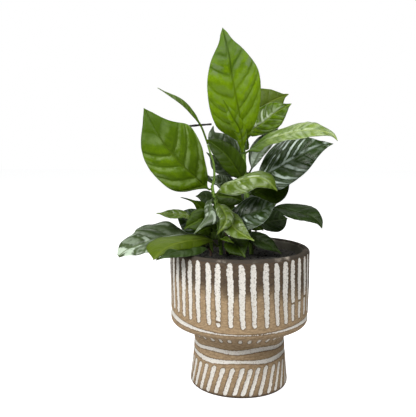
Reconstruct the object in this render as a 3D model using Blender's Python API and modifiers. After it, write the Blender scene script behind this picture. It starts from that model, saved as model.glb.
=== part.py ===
"""Potted coffee plant: several young coffee seedlings in one footed ceramic planter.

Frame: +Z up, origin at the centre of the flat face that the pot stands on. The plant's
widest, best side faces -Y. Lengths in this file are millimetres, and MM turns them into
Blender's metres when a mesh or curve is made.
"""
import math
from dataclasses import dataclass

import bmesh
import bpy
from mathutils import Vector

MM = 0.001
GAP = 0.3                    # clearance between pieces that touch

# Pot: one turned ceramic shell, a straight bowl on a flared foot
POT_STEPS = 48
RIM_RADIUS = 75.0
POT_HEIGHT = 148.4
WALL = 8.0
BOWL_BASE_RADIUS = 74.0      # the bowl's side leans in a little towards its bottom
BOWL_BASE_HEIGHT = 74.0
NECK_RADIUS = 49.0
FOOT_RADIUS = 53.0
FLOOR = 8.0

# Soil and what stands in it
SOIL_TOP = 138.0
SOIL_EDGE_RADIUS = 62.5      # the surface stops short of the wall
ROOT_DEPTH = 18.0            # how deep each stem stands in the soil

# Leaves
BLADE = 0.8                  # thickness of a blade
STALK = 2.0                  # thickness of a petiole
TIP_WIDTH = 0.9
SHORT_LEAF = 50.0            # a leaf under this length takes fewer rows
LEAF_COLUMNS = 4

STEM_SPACING = 8.0           # between the points of a stem's tube

# Plain colours and roughness
FINISHES = {
    "ceramic": ((0.24, 0.17, 0.11), 0.85),
    "soil": ((0.03, 0.028, 0.02), 0.95),
    "green": ((0.13, 0.22, 0.04), 0.5),
    "woody": ((0.10, 0.06, 0.035), 0.8),
    "young": ((0.22, 0.40, 0.03), 0.4),
    "pale": ((0.24, 0.38, 0.08), 0.4),
    "mid": ((0.10, 0.22, 0.02), 0.35),
    "dark": ((0.02, 0.06, 0.01), 0.35),
    "glossy": ((0.03, 0.09, 0.02), 0.2),
}


@dataclass
class Stem:
    """A stem: the points of its middle line from the soil up, and its radii."""
    name: str
    points: list
    radii: tuple              # at the soil, at the top
    kind: str = "green"


@dataclass
class Leaf:
    """A leaf on a stem at a height, with the points of its midrib from petiole to tip."""
    name: str
    stem: str
    height: float
    midrib: list
    width: float
    face: tuple               # where the upper side looks, halfway along
    face_tip: tuple = None    # the same near the tip, for a blade that turns
    petiole: float = 8.0
    belly: float = 0.48       # where the blade is widest, 0 at its base and 1 at its tip
    left: tuple = ()          # the left half's widths at even steps, in place of the even outline
    right: tuple = ()         # the right half's
    full: float = 0.7         # how round the blade's base is, rounder as this gets smaller
    full_tip: float = 0.97    # the same for its tip
    fold: tuple = (8.0, 8.0)  # how far the left and right halves lift, in degrees
    wave: float = 0.0         # height of the margin's waves
    waves: float = 2.0        # how many waves the margins have
    drip: float = 0.10        # share of the length that the drawn-out tip takes
    on_top: bool = False      # carried by the stem's end and not by its side
    kind: str = "dark"


STEMS = [
    Stem("stem_main", [(13, 12, 142), (11, 12, 160), (8, 10, 203), (6, 10, 225), (1, 10, 256)],
         (2.4, 1.5)),
    Stem("stem_left", [(-20, 5, 142), (-22, 1, 164), (-25, -6, 196), (-29, -8, 212), (-27, -8, 224),
                       (-28, -7, 238), (-32, -6, 251), (-34, -6, 258)], (2.0, 1.0)),
    Stem("stem_back", [(6, 30, 142), (7, 31, 173), (6, 31, 218), (4, 30, 256)], (2.4, 1.5)),
    Stem("stem_low", [(-31, 20, 142), (-32, 17, 157), (-33, 13, 176)], (1.8, 1.4)),
    Stem("stem_right", [(-10, 6, 142), (-7, 4, 157), (-5, 1, 171)], (1.8, 1.4)),
    Stem("seedling_left", [(-31, 2, 142), (-33, 0, 146), (-35, -2, 150)], (1.3, 0.9), "woody"),
    Stem("seedling_middle", [(-14, 10, 142), (-14, 12, 152), (-16, 15, 164)], (1.3, 0.9), "woody"),
    Stem("seedling_right", [(-4, 14, 142), (-2, 15, 152), (1, 18, 163)], (1.3, 0.9), "woody"),
    Stem("seedling_back", [(16, 42, 142), (17, 45, 152), (20, 49, 162)], (1.3, 0.9), "woody"),
]

# A dry twig caught behind the thin shoot, which bears on it
TWIG = Stem("dry_twig", [(-64, -5.2, 276), (-43, -5.2, 278), (-30, -5.2, 279)], (0.9, 0.8), "woody")

LEAVES = [
    # the main stem, from its top down
    Leaf("leaf_top", "stem_main", 256, [(0, 2, 283), (-7, -6, 319), (-12, -8, 349), (-19, 0, 378)],
         58, (0, -1, 0), left=(0, 22, 28, 29.5, 28, 24.5, 18, 7, 0),
         right=(0, 11.5, 20, 25.5, 28, 26.5, 17.5, 6.5, 0), fold=(6, 12), petiole=2, drip=0.06,
         on_top=True, kind="young"),
    Leaf("leaf_top_small", "stem_main", 251, [(0, -4, 271), (-8, -12, 286), (-18, -15, 304)],
         11, (0.5, -1, 0.2), fold=(25, 25), petiole=5, kind="young"),
    Leaf("leaf_right_pale", "stem_main", 248, [(17, 4, 256), (27, 0, 262), (41, -8, 267), (62, -24, 272),
                                               (83, -35, 271), (91, -37, 268), (96, -38, 262)],
         34, (0, -0.6, 0.8), petiole=5, belly=0.55, full=1.1, full_tip=0.65, fold=(4, 4), kind="pale"),
    Leaf("leaf_right_big", "stem_main", 212, [(25, 12, 222), (35, 15, 228), (51, 21, 237), (71, 30, 248),
                                              (93, 40, 256), (104, 44, 258)],
         46, (0.2, -0.9, 0.5), petiole=10, left=(0, 11, 16, 19, 20, 18, 14, 6, 0),
         right=(0, 20, 22.5, 22, 20, 16, 10, 4, 0), kind="glossy"),
    Leaf("leaf_inner_dark", "stem_main", 220, [(-2, 3, 229), (-15, 1, 247), (-35, 3, 263)],
         32, (0, -1, 0.2), left=(0, 7, 11, 13, 13, 12, 10, 6, 0),
         right=(0, 12, 17.5, 16.5, 16, 14, 10, 6, 0), petiole=4, fold=(26, 6)),
    Leaf("leaf_right_under", "stem_main", 202, [(17, 26, 205), (25, 34, 208), (43, 38, 211),
                                                (59, 42, 220)],
         42, (0.1, -0.9, 0.4), belly=0.5, petiole=8, fold=(4, 4), kind="dark"),
    Leaf("leaf_centre_round", "stem_main", 197, [(-8, 6, 201), (-20, 5, 202), (-30, 5, 205)],
         22, (0, -1, 0.3), petiole=4),
    Leaf("leaf_far_right", "stem_main", 184, [(39, 2, 190), (54, -6, 188), (65, -14, 186), (74, -20, 184),
                                              (81, -24, 179), (84, -28, 173)],
         33, (0.1, -0.5, 0.9), petiole=24, belly=0.55, drip=0.06, full_tip=1.0),
    Leaf("leaf_right_round", "stem_main", 170, [(17, 12, 174), (29, 16, 173), (41, 21, 174),
                                                (53, 26, 176)],
         28, (0, -0.9, 0.5), petiole=4, belly=0.6, drip=0.05, full_tip=0.7),
    Leaf("leaf_inner_curled", "stem_back", 224, [(-13, 14, 230), (-23, 16, 234), (-30, 18, 243),
                                                 (-37, 20, 249)],
         18, (0, -0.9, 0.6), petiole=8, kind="glossy"),
    # the thin stem in front
    Leaf("leaf_thin_shoot", "stem_left", 258, [(-42, -8, 279), (-52, -10, 291), (-62, -12, 301),
                                               (-85, -16, 316)],
         21, (0.72, 0, 0.70), petiole=21, on_top=True, kind="young"),
    Leaf("leaf_left_big", "stem_left", 211, [(-42, -20, 221), (-58, -30, 237), (-80, -34, 264),
                                             (-98, -26, 295)],
         64, (-0.1, -1, 0.1), left=(0, 15, 25, 28, 28, 25, 17.5, 7.5, 0),
         right=(0, 11, 20, 28, 32, 31.5, 19, 8.5, 0), petiole=5, fold=(6, 12), drip=0.08, kind="mid"),
    Leaf("leaf_front_light", "stem_left", 205, [(-18, -20, 216), (-2, -34, 222), (16, -42, 226),
                                                (28, -46, 222), (37, -46, 213)],
         34, (0, -0.5, 0.9), left=(0, 8, 13, 16, 17, 18, 17, 13, 0),
         right=(0, 8, 13, 16, 17, 15, 11, 6, 0), fold=(-10, -25), petiole=10, kind="pale"),
    Leaf("leaf_young_folded", "stem_left", 196, [(-17, -23, 190), (-14, -34, 181), (-23, -36, 167)],
         17, (0.3, -1, 0.2), petiole=4, kind="young"),
    Leaf("leaf_young_open", "stem_left", 189, [(-13, -18, 181), (-3, -31, 171), (15, -42, 162)],
         24, (0.2, -0.8, 0.6), petiole=5, fold=(38, 8), kind="young"),
    Leaf("leaf_left_upper", "stem_left", 194, [(-31, 2, 198), (-39, 4, 202), (-48, 7, 202)],
         15, (0, -1, 0.3), petiole=4),
    Leaf("leaf_front_grey", "stem_left", 202, [(-31, -15, 198), (-31, -23, 191), (-32, -29, 184),
                                               (-39, -33, 176), (-47, -34, 167)],
         16, (0.2, -0.8, 0.6), left=(0, 2, 3, 8, 8.5, 4, 2, 1, 0),
         right=(0, 4, 5.5, 5.5, 4, 2.5, 1.5, 1, 0), petiole=4, drip=0.35, kind="glossy"),
    Leaf("leaf_left_pointed", "stem_left", 184, [(-36, -2, 185), (-43, -5, 193), (-51, -10, 199),
                                                 (-62, -15, 203)],
         15, (0, -1, 0.5), petiole=4, belly=0.34, full_tip=2.4, drip=0.3),
    Leaf("leaf_left_bright", "stem_left", 176, [(-39, -14, 181), (-46, -18, 177), (-53, -20, 174),
                                                (-58, -21, 170)],
         22, (0, -1, 0.3), petiole=9, full=0.55, kind="mid"),
    Leaf("leaf_over_rim_left", "stem_left", 149, [(-31, -10, 158), (-45, -26, 161), (-62, -46, 162),
                                                  (-75, -57, 161), (-88, -64, 158), (-92, -69, 152),
                                                  (-82, -70, 145)],
         34, (0, -0.25, 1), (-0.5, -0.85, 0.3), left=(0, 5, 9, 11, 12, 11.5, 9, 5, 0),
         right=(0, 10, 16, 19, 17, 9, 3, 2, 0), petiole=3, fold=(-8, -8), drip=0.04, kind="mid"),
    Leaf("leaf_under_rim_left", "seedling_left", 149, [(-44, -18, 152), (-54, -42, 153), (-68, -60, 152),
                                                       (-82, -66, 146)],
         28, (-0.1, -0.6, 0.8), petiole=6, fold=(4, 4), kind="glossy"),
    Leaf("leaf_soil_small", "stem_left", 156, [(-16, -20, 161), (-6, -33, 158)],
         8, (0, -0.7, 0.7), petiole=4),
    # the short stem on the left
    Leaf("leaf_left_inner", "stem_low", 174, [(-35, 7, 185), (-41, 4, 190), (-46, 1, 194)],
         14, (0, -1, 0.3), petiole=8),
    Leaf("leaf_low_wavy", "stem_low", 156, [(-50, 12, 160), (-74, 8, 159), (-91, 2, 156), (-104, -4, 151),
                                            (-117, -9, 147), (-124, -12, 143), (-129, -14, 139)],
         48, (-0.2, -0.6, 0.8), left=(0, 6, 14, 21, 24, 23, 17, 11, 3),
         right=(0, 2, 9, 21, 25, 23, 20, 15, 3), drip=0.04, wave=1.2, kind="glossy"),
    Leaf("leaf_left_small", "stem_low", 161, [(-41, 2, 166), (-57, -4, 182), (-66, -2, 183), (-77, 0, 183),
                                              (-90, 0, 184)],
         13, (0, -0.7, 0.7), petiole=30, belly=0.58, kind="pale"),
    Leaf("leaf_left_dark", "stem_low", 169, [(-40, 9, 171), (-49, 9, 173), (-60, 10, 178), (-70, 11, 182)],
         28, (0, -0.95, 0.3), petiole=5, drip=0.05),
    Leaf("leaf_left_shade", "stem_left", 166, [(-31, 0, 169), (-38, -3, 168), (-46, -6, 165)],
         15, (0, -1, 0.4), petiole=3),
    # the short stem in the middle
    Leaf("leaf_right_shade", "stem_right", 168, [(9, 4, 174), (18, 6, 170), (26, 7, 165)],
         13, (0, -1, 0.4), petiole=10),
    Leaf("leaf_low_glossy", "stem_right", 170, [(0, -14, 181), (21, -24, 190), (37, -28, 198)],
         40, (0.1, -0.75, 0.65), petiole=10, belly=0.48, full=0.5, drip=0.05, kind="glossy"),
    Leaf("leaf_over_rim_right", "stem_right", 165, [(16, -3, 158), (32, -5, 151), (45, -6, 142)],
         23, (0.3, -0.6, 0.8)),
    Leaf("leaf_soil_glossy", "stem_right", 161, [(-4, -10, 157), (-1, -19, 151), (6, -28, 142)],
         28, (0, -0.9, 0.5), petiole=4, kind="glossy"),
    # the stem behind
    Leaf("leaf_back_upper", "stem_back", 256, [(20, 40, 294), (36, 50, 306), (55, 62, 314)],
         44, (0, -1, 0.3), petiole=14, on_top=True, kind="mid"),
    Leaf("leaf_back_ribbed", "stem_back", 253, [(8, 28, 268), (15, 27, 274), (24, 28, 280), (39, 32, 292),
                                                (56, 35, 302)],
         32, (0, -0.9, 0.5), petiole=14, belly=0.56, drip=0.06, kind="glossy"),
    Leaf("leaf_right_grey", "stem_back", 225, [(21, 37, 247), (33, 38, 259), (43, 40, 271)],
         24, (-0.2, -1, 0.2), kind="glossy"),
    Leaf("leaf_inner_grey", "stem_back", 232, [(-9, 32, 249), (-23, 34, 259), (-31, 35, 269),
                                               (-30, 36, 278)],
         29, (0, -1, 0.2), petiole=8, kind="glossy"),
    Leaf("leaf_inner_ribbed", "stem_back", 204, [(-9, 24, 211), (-22, 24, 218), (-34, 26, 222)],
         19, (0, -0.9, 0.5), petiole=10, kind="pale"),
    Leaf("leaf_rear_top", "stem_back", 244, [(-5, 50, 249), (-7, 78, 259), (-7, 104, 262), (-8, 127, 254)],
         36, (0.2, 0.4, 0.9), petiole=14, kind="mid"),
    Leaf("leaf_rear_left", "stem_back", 203, [(-12, 45, 207), (-34, 62, 213), (-60, 85, 226),
                                              (-88, 100, 220)],
         42, (-0.2, 0.5, 0.9), petiole=28),
    Leaf("leaf_rear_right", "stem_back", 217, [(36, 62, 222), (58, 80, 230), (75, 92, 224)],
         40, (0.2, 0.4, 0.9), petiole=18, kind="glossy"),
    Leaf("leaf_rear_middle", "stem_back", 190, [(5, 62, 196), (-2, 95, 200), (-6, 124, 186)],
         40, (0, 0.5, 0.9), petiole=12),
    Leaf("leaf_back_shade", "stem_back", 187, [(-6, 35, 186), (-22, 37, 180), (-37, 37, 173)],
         27, (0, -1, 0.2), petiole=10),
    Leaf("leaf_rear_low_left", "stem_back", 172, [(-5, 40, 167), (-22, 43, 161), (-43, 41, 152)],
         24, (0, -1, 0.3), petiole=10, belly=0.5, kind="glossy"),
    Leaf("leaf_rear_low_right", "stem_back", 168, [(34, 60, 178), (56, 78, 180), (76, 90, 168)],
         34, (0.2, 0.4, 0.9), petiole=12),
]


def smooth_path(points, shares):
    """Stations at shares of a smooth curve's length, each a position and a direction."""
    points = [Vector(p) for p in points]
    times = [0.0]
    for a, b in zip(points, points[1:]):
        times.append(times[-1] + (b - a).length)
    slopes = []
    for i in range(len(points)):
        lo, hi = max(i - 1, 0), min(i + 1, len(points) - 1)
        slopes.append((points[hi] - points[lo]) / (times[hi] - times[lo]))
    fine = []
    for i in range(len(points) - 1):
        span = times[i + 1] - times[i]
        for k in range(24):
            s = k / 24
            fine.append((2 * s ** 3 - 3 * s ** 2 + 1) * points[i]
                        + (s ** 3 - 2 * s ** 2 + s) * span * slopes[i]
                        + (3 * s ** 2 - 2 * s ** 3) * points[i + 1]
                        + (s ** 3 - s ** 2) * span * slopes[i + 1])
    fine.append(points[-1])
    reach = [0.0]
    for a, b in zip(fine, fine[1:]):
        reach.append(reach[-1] + (b - a).length)
    stations, j = [], 0
    for share in shares:
        while j < len(fine) - 2 and reach[j + 1] < share * reach[-1]:
            j += 1
        step = fine[j + 1] - fine[j]
        stations.append((fine[j].lerp(fine[j + 1], (share * reach[-1] - reach[j]) / step.length),
                         step.normalized()))
    return stations, reach[-1]


def stem_at(name, height):
    """A stem's middle, direction and radius where it passes a height."""
    stem = next(s for s in STEMS if s.name == name)
    shares = [k / 60 for k in range(61)]
    stations, _ = smooth_path(stem.points, shares)
    middle, along = min(stations, key=lambda station: abs(station[0].z - height))
    low, high = stem.points[0][2], stem.points[-1][2]
    share = min(max((middle.z - low) / (high - low), 0), 1)
    return middle, along, stem.radii[0] + (stem.radii[1] - stem.radii[0]) * share


def leaf_path(leaf):
    """The points of a leaf's middle line, which starts on its stem."""
    middle, along, radius = stem_at(leaf.stem, leaf.height)
    if leaf.on_top:
        root, out = middle + along * GAP, along
    else:
        out = Vector(leaf.midrib[0]) - middle
        out = (out - along * out.dot(along)).normalized()
        root = middle + out * (radius + GAP)
    return [root, root + out * 3, *leaf.midrib]


def half_width(leaf, t, side):
    """How wide a blade's half is on a side, -1 or 1, at t: 0 at its base and 1 at its tip."""
    drawn = leaf.right if side > 0 else leaf.left
    if drawn:
        step = min(int(t * (len(drawn) - 1)), len(drawn) - 2)
        s = t * (len(drawn) - 1) - step
        before, a, b, after = (drawn[min(max(step + k, 0), len(drawn) - 1)] for k in (-1, 0, 1, 2))
        body = max(a + s / 2 * (b - before + s * (2 * before - 5 * a + 4 * b - after
                                                  + s * (3 * a - before - 3 * b + after))), 0)
    else:
        rise = math.log(0.5) / math.log(leaf.belly)
        share = min(t / (1 - 0.8 * leaf.drip), 1) ** rise
        body = math.sin(math.pi * share) ** (leaf.full + (leaf.full_tip - leaf.full) * t)
        body *= leaf.width / 2
    tail = TIP_WIDTH / 2 + 0.05 * leaf.width * min((1 - t) / leaf.drip, 1)
    return math.hypot(body, STALK / 2 if t < 0.5 else tail)


def leaf_section(leaf, station, share, t, u):
    """The point of a leaf at u across it, from -1 at its left margin to 1 at its right."""
    position, along = station
    face = Vector(leaf.face).normalized()
    if leaf.face_tip:
        face = face.lerp(Vector(leaf.face_tip).normalized(), share)
    face = (face - along * face.dot(along)).normalized()
    right = along.cross(face)
    if t <= 0:
        return position + right * (u * STALK / 2)
    reach = half_width(leaf, t, 1 if u > 0 else -1)
    opening = min(t / 0.15, 1)
    lift = math.radians(leaf.fold[u > 0] * opening)
    ripple = leaf.wave * math.sin(leaf.waves * math.tau * t + (1.2 if u > 0 else 0)) * u * u
    ripple *= reach / (leaf.width / 2)
    rise = abs(u) * reach * math.sin(lift) + ripple
    return position + right * (u * reach * math.cos(lift)) + face * rise


def make_leaf(leaf, collection):
    """One leaf, petiole and blade in one piece."""
    path = leaf_path(leaf)
    _, length = smooth_path(path, [0, 1])
    stalk = leaf.petiole / length
    rows = 6 if length < SHORT_LEAF else 8
    shares = [0, stalk / 2] + [stalk + (1 - stalk) * row / rows for row in range(rows + 1)]
    stations, _ = smooth_path(path, shares)
    bm = bmesh.new()
    bmesh.ops.create_grid(bm, x_segments=LEAF_COLUMNS, y_segments=len(shares) - 1, size=0.5)
    bm.verts.ensure_lookup_table()
    weights = {}
    for vert in bm.verts:
        row = round((vert.co.y + 0.5) * (len(shares) - 1))
        u = round(vert.co.x * 2 * LEAF_COLUMNS) / LEAF_COLUMNS
        t = (shares[row] - stalk) / (1 - stalk)
        vert.co = leaf_section(leaf, stations[row], shares[row], t, u) * MM
        thickness = STALK if t <= 0 else max(BLADE, STALK * (1 - t / (0.6 if u == 0 else 0.15)))
        weights[vert.index] = thickness / STALK
    mesh = bpy.data.meshes.new(leaf.name)
    bm.to_mesh(mesh)
    bm.free()
    obj = add_object(leaf.name, mesh, collection, leaf.kind)
    group = obj.vertex_groups.new(name="thickness")
    for index, weight in weights.items():
        group.add([index], weight, "REPLACE")
    shell = obj.modifiers.new("thickness", "SOLIDIFY")
    shell.thickness = STALK * MM
    shell.offset = 0
    shell.vertex_group = group.name
    mesh.shade_smooth()
    return obj


def make_stem(stem, collection, in_soil=True):
    """A stem as a tapered tube, which stands in the soil."""
    _, length = smooth_path(stem.points, [0, 1])
    count = max(round(length / STEM_SPACING), 3)
    stations, _ = smooth_path(stem.points, [k / count for k in range(count + 1)])
    places = [(station[0], k / count) for k, station in enumerate(stations)]
    if in_soil:
        foot = Vector(stem.points[0])
        places.insert(0, (Vector((foot.x, foot.y, SOIL_TOP - ROOT_DEPTH)), 0))
    curve = bpy.data.curves.new(stem.name, "CURVE")
    curve.dimensions = "3D"
    curve.bevel_depth = MM
    curve.bevel_resolution = 2
    curve.use_fill_caps = True
    spline = curve.splines.new("POLY")
    spline.points.add(len(places) - 1)
    for point, (place, share) in zip(spline.points, places):
        point.co = (*(place * MM), 1)
        point.radius = stem.radii[0] + (stem.radii[1] - stem.radii[0]) * share
    return add_object(stem.name, curve, collection, stem.kind)


def cavity_profile(clearance):
    """The pot's inside from under the lip to the middle of its floor, drawn in by a clearance."""
    inner = RIM_RADIUS - WALL
    line = [(inner, BOWL_BASE_HEIGHT + 14), (inner - 1.5, BOWL_BASE_HEIGHT + 7),
            (inner - 6, BOWL_BASE_HEIGHT + 2), (inner - 14, BOWL_BASE_HEIGHT - 3),
            (NECK_RADIUS - WALL + 2, BOWL_BASE_HEIGHT - 10), (NECK_RADIUS - WALL, BOWL_BASE_HEIGHT - 18),
            (FOOT_RADIUS - WALL - 2, FLOOR + 5), (FOOT_RADIUS - WALL - 6, FLOOR), (0, FLOOR)]
    return [(max(r - clearance, 0), z + clearance) for r, z in line]


def turned(name, profile, collection, kind):
    """A turned body: a profile of radius and height, swept round the upright axis."""
    mesh = bpy.data.meshes.new(name)
    mesh.from_pydata([(r * MM, 0, z * MM) for r, z in profile],
                     [(i, i + 1) for i in range(len(profile) - 1)], [])
    obj = add_object(name, mesh, collection, kind)
    screw = obj.modifiers.new("turn", "SCREW")
    screw.steps = screw.render_steps = POT_STEPS
    screw.use_merge_vertices = True
    screw.merge_threshold = 0.00005
    screw.use_normal_calculate = False
    return obj


def make_pot(collection):
    """The pot: bowl, cove and foot with a rounded lip, in one piece."""
    lip = WALL / 2
    lip_middle = RIM_RADIUS - lip
    rim = [(lip_middle - lip * math.cos(math.radians(a)),
            POT_HEIGHT - lip + lip * math.sin(math.radians(a))) for a in range(0, 181, 45)]
    corner = 7.0
    low = [(BOWL_BASE_RADIUS - corner + corner * math.cos(math.radians(a)),
            BOWL_BASE_HEIGHT - corner * math.sin(math.radians(a))) for a in (0, 25, 50, 75)]
    cove = [(BOWL_BASE_RADIUS - 13, BOWL_BASE_HEIGHT - 9), (NECK_RADIUS + 6, BOWL_BASE_HEIGHT - 13),
            (NECK_RADIUS + 1.5, BOWL_BASE_HEIGHT - 18), (NECK_RADIUS, BOWL_BASE_HEIGHT - 24)]
    foot = [(NECK_RADIUS + 1.5, 28), (FOOT_RADIUS, 4), (FOOT_RADIUS - 0.8, 1.2),
            (FOOT_RADIUS - 2.6, 0), (0, 0)]
    inside = list(reversed(cavity_profile(0)))
    return turned("pot", inside + rim + low + cove + foot, collection, "ceramic")


def make_soil(collection, cutters):
    """The root ball, which fills the pot, with a socket for each stem."""
    top = [(0, SOIL_TOP + 0.4), (28, SOIL_TOP), (50, SOIL_TOP + 0.3),
           (SOIL_EDGE_RADIUS, SOIL_TOP - 1.2), (RIM_RADIUS - WALL - GAP, SOIL_TOP - 6)]
    soil = turned("soil", top + cavity_profile(GAP), collection, "soil")
    bm = bmesh.new()
    for stem in STEMS:
        foot = Vector(stem.points[0])
        depth = ROOT_DEPTH + 6
        made = bmesh.ops.create_cone(bm, cap_ends=True, segments=10, radius1=(stem.radii[0] + 0.5) * MM,
                                     radius2=(stem.radii[0] + 0.5) * MM, depth=depth * MM)
        shift = Vector((foot.x, foot.y, SOIL_TOP - ROOT_DEPTH - GAP + depth / 2)) * MM
        bmesh.ops.translate(bm, verts=made["verts"], vec=shift)
    mesh = bpy.data.meshes.new("stem_sockets")
    bm.to_mesh(mesh)
    bm.free()
    sockets = bpy.data.objects.new("stem_sockets", mesh)
    sockets.hide_render = True
    sockets.display_type = "WIRE"
    cutters.objects.link(sockets)
    cut = soil.modifiers.new("stem sockets", "BOOLEAN")
    cut.operation = "DIFFERENCE"
    cut.object = sockets
    return soil


def make_material(kind):
    """A plain material of a kind, made once."""
    material = bpy.data.materials.get(kind)
    if material is None:
        colour, roughness = FINISHES[kind]
        material = bpy.data.materials.new(kind)
        material.use_nodes = True
        shader = material.node_tree.nodes["Principled BSDF"]
        shader.inputs["Base Color"].default_value = (*colour, 1)
        shader.inputs["Roughness"].default_value = roughness
        shader.inputs["Metallic"].default_value = 0
    return material


def add_object(name, data, collection, kind):
    """A named object with its material, linked into a collection."""
    data.materials.append(make_material(kind))
    obj = bpy.data.objects.new(name, data)
    collection.objects.link(obj)
    return obj


def main():
    for obj in list(bpy.data.objects):
        bpy.data.objects.remove(obj)
    plant = bpy.data.collections.new("potted_coffee_plant")
    cutters = bpy.data.collections.new("cutters")
    bpy.context.scene.collection.children.link(plant)
    bpy.context.scene.collection.children.link(cutters)
    make_pot(plant)
    make_soil(plant, cutters)
    for stem in STEMS:
        make_stem(stem, plant)
    make_stem(TWIG, plant, in_soil=False)
    for leaf in LEAVES:
        make_leaf(leaf, plant)


main()
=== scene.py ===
"""Looks of the potted coffee plant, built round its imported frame.

Every leaf is a thin closed blade with its own veins and quilting, the pot is a turned shell
with recessed white strokes, and the soil is a crumbly disc. Lengths here are millimetres and
MM turns them into the frame's metres.
"""
import math
import random
from dataclasses import dataclass

import bpy
import numpy as np
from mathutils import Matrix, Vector, noise


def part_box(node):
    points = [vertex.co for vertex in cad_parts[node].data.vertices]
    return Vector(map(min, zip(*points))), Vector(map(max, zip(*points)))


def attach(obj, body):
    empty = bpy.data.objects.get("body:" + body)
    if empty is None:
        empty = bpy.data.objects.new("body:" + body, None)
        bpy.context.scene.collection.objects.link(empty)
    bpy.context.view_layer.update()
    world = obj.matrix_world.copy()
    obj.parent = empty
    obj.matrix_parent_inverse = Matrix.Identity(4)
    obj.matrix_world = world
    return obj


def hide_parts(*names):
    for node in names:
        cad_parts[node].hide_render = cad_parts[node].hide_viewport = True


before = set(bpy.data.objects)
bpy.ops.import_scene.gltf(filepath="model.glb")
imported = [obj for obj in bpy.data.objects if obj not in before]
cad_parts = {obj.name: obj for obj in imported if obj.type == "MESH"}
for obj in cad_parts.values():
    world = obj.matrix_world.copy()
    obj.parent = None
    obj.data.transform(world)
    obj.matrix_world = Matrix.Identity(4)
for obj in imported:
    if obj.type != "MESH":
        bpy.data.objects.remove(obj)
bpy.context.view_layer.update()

MM = 0.001
GAP = 0.3                    # between a leaf's root and its stem
STALK = 2.0                  # thickness of a petiole
TIP_WIDTH = 0.9
BLADE_HALF = 0.22            # half of a blade's thickness
MARGIN_HALF = 0.10           # the same at its margin
ROW_SPACING = 1.3            # between the rows of points along a blade
COLUMN_SPACING = 1.5         # between its columns, at its widest
MIN_ROWS, MIN_COLUMNS = 24, 5    # the least along a blade, and on each side of its midrib
PETIOLE_ROWS = 8
FINE_STEPS = 24              # steps between two points of a smooth curve
CROSS_SPACING = 6.5          # between the small veins that join two side veins

# Camera: where the photograph was taken from
EYE = (0.0, -0.654, 0.269)
LOOK_DOWN = math.radians(6.92)
LOOK_LEFT = math.radians(2.98)
LENS = 53.13


@dataclass
class Stem:
    """A stem: the points of its middle line from the soil up, and its radii."""
    name: str
    points: list
    radii: tuple              # at the soil, at the top
    kind: str = "green"


@dataclass
class Leaf:
    """A leaf on a stem at a height, with the points of its midrib from petiole to tip."""
    name: str                 # its node's name, without leaf_ before it
    stem: str
    height: float
    midrib: list
    width: float
    face: tuple               # where the upper side looks, halfway along
    face_tip: tuple = None    # the same near the tip, for a blade that turns
    petiole: float = 8.0
    belly: float = 0.48       # where the blade is widest, 0 at its base and 1 at its tip
    left: tuple = ()          # the left half's widths at even steps, in place of the even outline
    right: tuple = ()         # the right half's
    full: float = 0.7         # how round the blade's base is, rounder as this gets smaller
    full_tip: float = 0.97    # the same for its tip
    fold: tuple = (8.0, 8.0)  # how far the left and right halves lift, in degrees
    wave: float = 0.0         # height of the margin's waves
    waves: float = 2.0        # how many waves the margins have
    drip: float = 0.10        # share of the length that the drawn-out tip takes
    on_top: bool = False      # carried by the stem's end and not by its side
    kind: str = "mature"      # its material slot's name, without _leaf


STEMS = [
    Stem("stem_main", [(13, 12, 142), (11, 12, 160), (8, 10, 203), (6, 10, 225), (1, 10, 256)], (2.4, 1.5)),
    Stem("stem_left", [(-20, 5, 142), (-22, 1, 164), (-25, -6, 196), (-29, -8, 212), (-27, -8, 224),
        (-28, -7, 238), (-32, -6, 251), (-34, -6, 258)], (2.0, 1.0)),
    Stem("stem_back", [(6, 30, 142), (7, 31, 173), (6, 31, 218), (4, 30, 256)], (2.4, 1.5)),
    Stem("stem_low", [(-31, 20, 142), (-32, 17, 157), (-33, 13, 176)], (1.8, 1.4)),
    Stem("stem_right", [(-10, 6, 142), (-7, 4, 157), (-5, 1, 171)], (1.8, 1.4)),
    Stem("seedling_left", [(-31, 2, 142), (-33, 0, 146), (-35, -2, 150)], (1.3, 0.9), "woody"),
    Stem("seedling_middle", [(-14, 10, 142), (-14, 12, 152), (-16, 15, 164)], (1.3, 0.9), "woody"),
    Stem("seedling_right", [(-4, 14, 142), (-2, 15, 152), (1, 18, 163)], (1.3, 0.9), "woody"),
    Stem("seedling_back", [(16, 42, 142), (17, 45, 152), (20, 49, 162)], (1.3, 0.9), "woody"),
]

# A dry twig caught behind the thin shoot, which bears on it
TWIG = Stem("dry_twig", [(-64, -5.2, 276), (-43, -5.2, 278), (-30, -5.2, 279)], (1.2, 1.0), "twig")

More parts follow.
